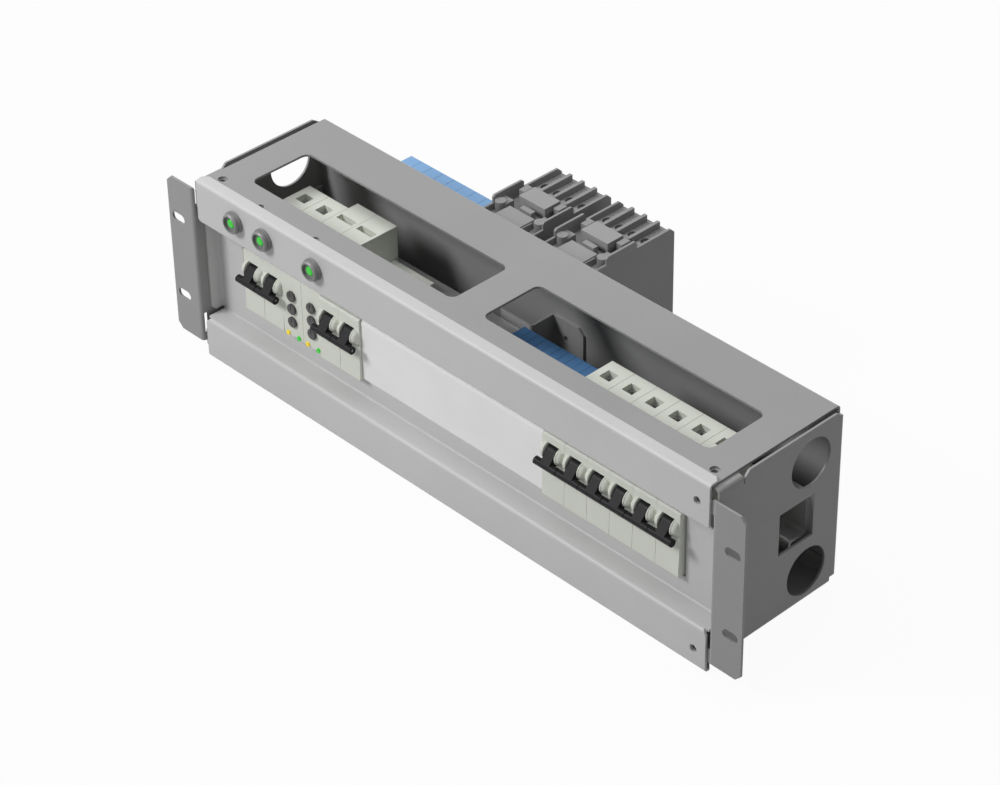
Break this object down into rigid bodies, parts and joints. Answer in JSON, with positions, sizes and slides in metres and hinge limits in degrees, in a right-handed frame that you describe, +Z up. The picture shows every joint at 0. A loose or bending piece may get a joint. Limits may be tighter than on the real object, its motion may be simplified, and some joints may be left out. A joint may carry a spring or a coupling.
{
  "type": "power distribution module",
  "caption": "Rack-mount power distribution module: folded steel chassis with a recessed panel of circuit breakers and relays, signal lamps, and a rear shelf with terminals and contactors.",
  "frame": {"origin": "middle of the four rack slots, on the front face of the ears", "axes": "+X to the right seen from the front, +Y into the rack, +Z up"},
  "size_m": [0.4826, 0.2047, 0.1313],
  "materials": {
    "blank_plastic": "matt",
    "handle_plastic": "satin black",
    "breaker_plastic": "matt",
    "pin_steel": "plain",
    "chassis_paint": "satin",
    "contactor_base_plastic": "matt",
    "carrier_plastic": "matt",
    "contactor_top_plastic": "matt",
    "clip_plastic": "matt",
    "panel_paint": "satin",
    "rail_zinc": "zinc plated",
    "terminal_dark_blue": "matt",
    "label_plastic": "matt",
    "lamp_metal": "satin chromed",
    "lamp_green": "clear tinted",
    "nut_steel": "plated",
    "bracket_zinc": "zinc plated",
    "terminal_light_blue": "matt",
    "shelf_paint": "satin",
    "relay_plastic": "matt",
    "knob_plastic": "matt",
    "led_green": "clear tinted",
    "led_yellow": "clear tinted",
    "cover_paint": "satin"
  },
  "bodies": {
    "frame": {"blanking_strip": "blank_plastic", "breaker_1_housing": "breaker_plastic", "breaker_2_housing": "breaker_plastic", "breaker_3_housing": "breaker_plastic", "breaker_4_housing": "breaker_plastic", "breaker_5_housing": "breaker_plastic", "breaker_6_housing": "breaker_plastic", "breaker_7_housing": "breaker_plastic", "breaker_8_housing": "breaker_plastic", "chassis": "chassis_paint", "contactor_1_base": "contactor_base_plastic", "contactor_1_top": "contactor_top_plastic", "contactor_2_base": "contactor_base_plastic", "contactor_2_top": "contactor_top_plastic", "din_clips": "clip_plastic", "front_panel": "panel_paint", "front_rail": "rail_zinc", "inner_terminals": "terminal_dark_blue", "label_holders": "label_plastic", "lamp_1_bezel": "lamp_metal", "lamp_1_lens": "lamp_green", "lamp_2_bezel": "lamp_metal", "lamp_2_lens": "lamp_green", "lamp_3_bezel": "lamp_metal", "lamp_3_lens": "lamp_green", "lamp_nuts": "nut_steel", "mid_bracket": "bracket_zinc", "outer_terminals": "terminal_light_blue", "rail_bracket_left": "bracket_zinc", "rail_bracket_right": "bracket_zinc", "rear_rail": "rail_zinc", "rear_shelf": "shelf_paint", "relay_1_housing": "relay_plastic", "relay_2_housing": "relay_plastic", "status_leds_green": "led_green", "status_leds_yellow": "led_yellow", "top_cover": "cover_paint"},
    "breaker_1_toggle": {"breaker_1_handle_1": "handle_plastic", "breaker_1_handle_2": "handle_plastic", "breaker_1_tie_pin": "pin_steel"},
    "breaker_2_toggle": {"breaker_2_handle_1": "handle_plastic", "breaker_2_handle_2": "handle_plastic", "breaker_2_tie_pin": "pin_steel"},
    "breaker_3_toggle": {"breaker_3_handle": "handle_plastic"},
    "breaker_4_toggle": {"breaker_4_handle": "handle_plastic"},
    "breaker_5_toggle": {"breaker_5_handle": "handle_plastic"},
    "breaker_6_toggle": {"breaker_6_handle": "handle_plastic"},
    "breaker_7_toggle": {"breaker_7_handle": "handle_plastic"},
    "breaker_8_toggle": {"breaker_8_handle": "handle_plastic"},
    "relay_1_knob_1_dial": {"relay_1_knob_1": "knob_plastic"},
    "relay_1_knob_2_dial": {"relay_1_knob_2": "knob_plastic"},
    "relay_1_knob_3_dial": {"relay_1_knob_3": "knob_plastic"},
    "relay_2_knob_1_dial": {"relay_2_knob_1": "knob_plastic"},
    "relay_2_knob_2_dial": {"relay_2_knob_2": "knob_plastic"},
    "relay_2_knob_3_dial": {"relay_2_knob_3": "knob_plastic"},
    "contactor_1_plunger": {"contactor_1_carrier": "carrier_plastic"},
    "contactor_2_plunger": {"contactor_2_carrier": "carrier_plastic"}
  },
  "joints": [
    {"name": "breaker_1_switch", "type": "hinge", "parent": "frame", "child": "breaker_1_toggle", "pos_m": [-0.17, 0.0152, 0.0074], "axis": [-1, 0, 0], "range_deg": [0, 78]},
    {"name": "breaker_2_switch", "type": "hinge", "parent": "frame", "child": "breaker_2_toggle", "pos_m": [-0.098, 0.0132, 0.0074], "axis": [-1, 0, 0], "range_deg": [0, 78]},
    {"name": "breaker_3_switch", "type": "hinge", "parent": "frame", "child": "breaker_3_toggle", "pos_m": [0.0835, 0.014, 0.0095], "axis": [-1, 0, 0], "range_deg": [0, 78]},
    {"name": "breaker_4_switch", "type": "hinge", "parent": "frame", "child": "breaker_4_toggle", "pos_m": [0.1015, 0.014, 0.0095], "axis": [-1, 0, 0], "range_deg": [0, 78]},
    {"name": "breaker_5_switch", "type": "hinge", "parent": "frame", "child": "breaker_5_toggle", "pos_m": [0.1195, 0.014, 0.0095], "axis": [-1, 0, 0], "range_deg": [0, 78]},
    {"name": "breaker_6_switch", "type": "hinge", "parent": "frame", "child": "breaker_6_toggle", "pos_m": [0.1375, 0.014, 0.0095], "axis": [-1, 0, 0], "range_deg": [0, 78]},
    {"name": "breaker_7_switch", "type": "hinge", "parent": "frame", "child": "breaker_7_toggle", "pos_m": [0.1555, 0.014, 0.0095], "axis": [-1, 0, 0], "range_deg": [0, 78]},
    {"name": "breaker_8_switch", "type": "hinge", "parent": "frame", "child": "breaker_8_toggle", "pos_m": [0.1735, 0.014, 0.0095], "axis": [-1, 0, 0], "range_deg": [0, 78]},
    {"name": "relay_1_knob_1_turn", "type": "hinge", "parent": "frame", "child": "relay_1_knob_1_dial", "pos_m": [-0.143, 0.0131, 0.0072], "axis": [0, -1, 0], "range_deg": [-135, 135]},
    {"name": "relay_1_knob_2_turn", "type": "hinge", "parent": "frame", "child": "relay_1_knob_2_dial", "pos_m": [-0.143, 0.0131, -0.0022], "axis": [0, -1, 0], "range_deg": [-135, 135]},
    {"name": "relay_1_knob_3_turn", "type": "hinge", "parent": "frame", "child": "relay_1_knob_3_dial", "pos_m": [-0.143, 0.0131, -0.0118], "axis": [0, -1, 0], "range_deg": [-135, 135]},
    {"name": "relay_2_knob_1_turn", "type": "hinge", "parent": "frame", "child": "relay_2_knob_1_dial", "pos_m": [-0.125, 0.0131, 0.0072], "axis": [0, -1, 0], "range_deg": [-135, 135]},
    {"name": "relay_2_knob_2_turn", "type": "hinge", "parent": "frame", "child": "relay_2_knob_2_dial", "pos_m": [-0.125, 0.0131, -0.0022], "axis": [0, -1, 0], "range_deg": [-135, 135]},
    {"name": "relay_2_knob_3_turn", "type": "hinge", "parent": "frame", "child": "relay_2_knob_3_dial", "pos_m": [-0.125, 0.0131, -0.0118], "axis": [0, -1, 0], "range_deg": [-135, 135]},
    {"name": "contactor_1_plunge", "type": "slide", "parent": "frame", "child": "contactor_1_plunger", "axis": [0, 0, -1], "range_m": [0, 0.0045], "stiffness_N_per_m": 200, "springref_m": -0.004},
    {"name": "contactor_2_plunge", "type": "slide", "parent": "frame", "child": "contactor_2_plunger", "axis": [0, 0, -1], "range_m": [0, 0.0045], "stiffness_N_per_m": 200, "springref_m": -0.004}
  ]
}
